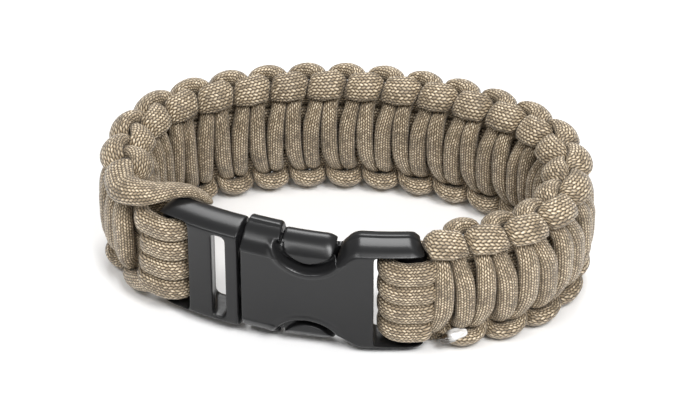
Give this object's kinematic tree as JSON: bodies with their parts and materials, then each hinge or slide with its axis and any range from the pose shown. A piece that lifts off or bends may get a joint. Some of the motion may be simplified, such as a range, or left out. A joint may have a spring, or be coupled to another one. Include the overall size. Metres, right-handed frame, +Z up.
{
  "type": "paracord bracelet",
  "caption": "Flat bracelet of knotted cord, closed into an oval loop by a curved plastic side release buckle, standing on its edge.",
  "frame": {"origin": "on the surface that the bracelet stands on, under the middle of its box", "axes": "+X along the buckle from the plug to the socket, -Y out of the buckle's face, +Z up across the band's width"},
  "size_m": [0.0898, 0.0566, 0.025],
  "materials": {
    "cord": "braided nylon sheath, tan, slight sheen",
    "buckle": "moulded black acetal, satin",
    "melted_cord": "melted and set nylon, grey and shiny"
  },
  "bodies": {
    "root": {"woven_band": "cord", "buckle_socket": "buckle", "buckle_plug": "buckle", "melted_end": "melted_cord", "core_loop_socket_1": "cord", "core_loop_socket_2": "cord", "core_loop_socket_3": "cord", "core_loop_socket_4": "cord", "core_loop_plug_1": "cord", "core_loop_plug_2": "cord", "core_loop_plug_3": "cord", "core_loop_plug_4": "cord"}
  },
  "joints": []
}
